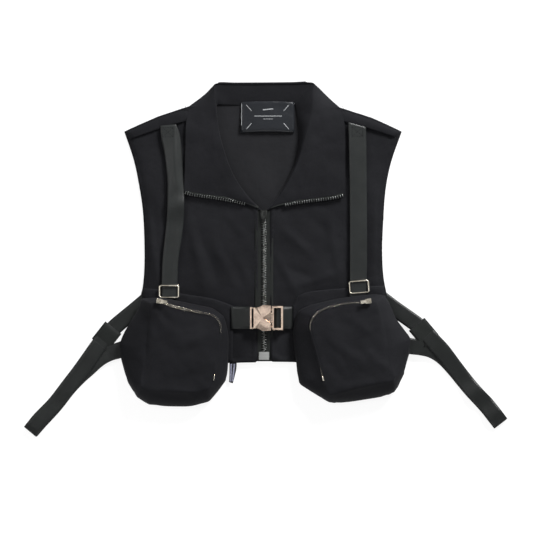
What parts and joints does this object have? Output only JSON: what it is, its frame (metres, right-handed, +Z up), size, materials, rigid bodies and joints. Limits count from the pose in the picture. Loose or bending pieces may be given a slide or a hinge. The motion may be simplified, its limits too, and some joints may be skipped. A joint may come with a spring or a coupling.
{
  "type": "cropped harness vest",
  "caption": "Sleeveless cropped vest laid flat, with a folded-out zip collar, boxed zip pouches, chest belt buckle, shoulder webbing and side straps.",
  "frame": {"origin": "on the resting plane under the back panel, on the centre line of the front, 254 mm below the top of the collar", "axes": "+X to the right seen from the front, +Y towards the collar, +Z up from the back panel to the front"},
  "size_m": [0.7334, 0.5367, 0.0465],
  "materials": {
    "shell_cloth": "matt black cotton twill",
    "webbing": "ribbed black polyester webbing with a satin sheen",
    "zip_tape": "woven zip tape",
    "dark_metal": "dark gunmetal",
    "gold_metal": "polished pale gold plating",
    "clear_plastic": "smoky moulded plastic",
    "black_plastic": "moulded acetal",
    "label_satin": "woven satin"
  },
  "bodies": {
    "vest": {"back_panel": "shell_cloth", "collar_back": "shell_cloth", "neck_label": "label_satin", "side_tag": "label_satin", "zip_retainer_box": "clear_plastic", "belt_webbing_left": "webbing", "buckle_female": "gold_metal", "shoulder_yoke_left": "shell_cloth", "shoulder_yoke_right": "shell_cloth", "front_panel_left": "shell_cloth", "front_panel_right": "shell_cloth", "collar_roll_left": "shell_cloth", "collar_roll_right": "shell_cloth", "zip_tape_left": "zip_tape", "zip_tape_right": "zip_tape", "zip_teeth_left": "dark_metal", "zip_teeth_right": "dark_metal", "shoulder_webbing_left": "webbing", "shoulder_webbing_right": "webbing", "pouch_left": "shell_cloth", "pouch_right": "shell_cloth", "pouch_zip_left": "gold_metal", "pouch_zip_right": "gold_metal", "side_strap_anchors_left": "webbing", "side_strap_anchors_right": "webbing"},
    "main_slider": {"main_slider": "dark_metal"},
    "main_pull": {"main_pull": "dark_metal"},
    "belt_tongue": {"buckle_male": "gold_metal", "belt_webbing_right": "webbing"},
    "release_button_upper": {"release_button_upper": "gold_metal"},
    "release_button_lower": {"release_button_lower": "gold_metal"},
    "pouch_slider_left": {"pouch_slider_left": "gold_metal"},
    "pouch_pull_left": {"pouch_pull_left": "gold_metal"},
    "strap_ring_left": {"strap_ring_left": "gold_metal"},
    "collar_leaf_left": {"collar_leaf_left": "shell_cloth", "collar_zip_left": "dark_metal"},
    "side_strap_left": {"side_webbing_upper_left": "webbing", "side_webbing_lower_left": "webbing"},
    "side_adjuster_left": {"side_adjuster_left": "black_plastic"},
    "pouch_slider_right": {"pouch_slider_right": "gold_metal"},
    "pouch_pull_right": {"pouch_pull_right": "gold_metal"},
    "strap_ring_right": {"strap_ring_right": "gold_metal"},
    "collar_leaf_right": {"collar_leaf_right": "shell_cloth", "collar_zip_right": "dark_metal"},
    "side_strap_right": {"side_webbing_upper_right": "webbing", "side_webbing_lower_right": "webbing"},
    "side_adjuster_right": {"side_adjuster_right": "black_plastic"}
  },
  "joints": [
    {"name": "main_zip_slide", "type": "slide", "parent": "vest", "child": "main_slider", "axis": [0, -1, 0], "range_m": [0, 0.11]},
    {"name": "main_pull_flip", "type": "hinge", "parent": "main_slider", "child": "main_pull", "pos_m": [0, 0.0589, 0.01235], "axis": [-1, 0, 0], "range_deg": [0, 150]},
    {"name": "buckle_release", "type": "slide", "parent": "vest", "child": "belt_tongue", "axis": [1, 0, 0], "range_m": [0, 0.015]},
    {"name": "release_button_upper_press", "type": "slide", "parent": "vest", "child": "release_button_upper", "axis": [0, -1, 0], "range_m": [0, 0.0012], "stiffness_N_per_m": 400},
    {"name": "release_button_lower_press", "type": "slide", "parent": "vest", "child": "release_button_lower", "axis": [0, 1, 0], "range_m": [0, 0.0012], "stiffness_N_per_m": 400},
    {"name": "pouch_zip_slide_left", "type": "slide", "parent": "vest", "child": "pouch_slider_left", "axis": [0.9893, -0.146, 0], "range_m": [0, 0.045]},
    {"name": "pouch_pull_flip_left", "type": "hinge", "parent": "pouch_slider_left", "child": "pouch_pull_left", "pos_m": [-0.16086, -0.07643, 0.0448], "axis": [-0.146, -0.9893, 0], "range_deg": [0, 150]},
    {"name": "strap_ring_slide_left", "type": "slide", "parent": "vest", "child": "strap_ring_left", "axis": [0, 1, 0], "range_m": [0, 0.06]},
    {"name": "collar_leaf_fold_left", "type": "hinge", "parent": "vest", "child": "collar_leaf_left", "pos_m": [-0.0455, 0.109, 0.0123], "axis": [-0.2614, 0.9652, 0], "range_deg": [0, 105]},
    {"name": "side_strap_lift_left", "type": "hinge", "parent": "vest", "child": "side_strap_left", "pos_m": [-0.202, -0.075, 0.0086], "axis": [0.335, 0.9422, 0], "range_deg": [0, 90]},
    {"name": "side_adjuster_slide_left", "type": "slide", "parent": "side_strap_left", "child": "side_adjuster_left", "axis": [-0.6187, -0.7856, 0], "range_m": [0, 0.012]},
    {"name": "pouch_zip_slide_right", "type": "slide", "parent": "vest", "child": "pouch_slider_right", "axis": [-0.9893, -0.146, 0], "range_m": [0, 0.045]},
    {"name": "pouch_pull_flip_right", "type": "hinge", "parent": "pouch_slider_right", "child": "pouch_pull_right", "pos_m": [0.16086, -0.07643, 0.0448], "axis": [-0.146, 0.9893, 0], "range_deg": [0, 150]},
    {"name": "strap_ring_slide_right", "type": "slide", "parent": "vest", "child": "strap_ring_right", "axis": [0, 1, 0], "range_m": [0, 0.06]},
    {"name": "collar_leaf_fold_right", "type": "hinge", "parent": "vest", "child": "collar_leaf_right", "pos_m": [0.0455, 0.109, 0.0123], "axis": [-0.2614, -0.9652, 0], "range_deg": [0, 105]},
    {"name": "side_strap_lift_right", "type": "hinge", "parent": "vest", "child": "side_strap_right", "pos_m": [0.202, -0.075, 0.0086], "axis": [0.335, -0.9422, 0], "range_deg": [0, 90]},
    {"name": "side_adjuster_slide_right", "type": "slide", "parent": "side_strap_right", "child": "side_adjuster_right", "axis": [0.6431, -0.7658, 0], "range_m": [0, 0.012]}
  ]
}
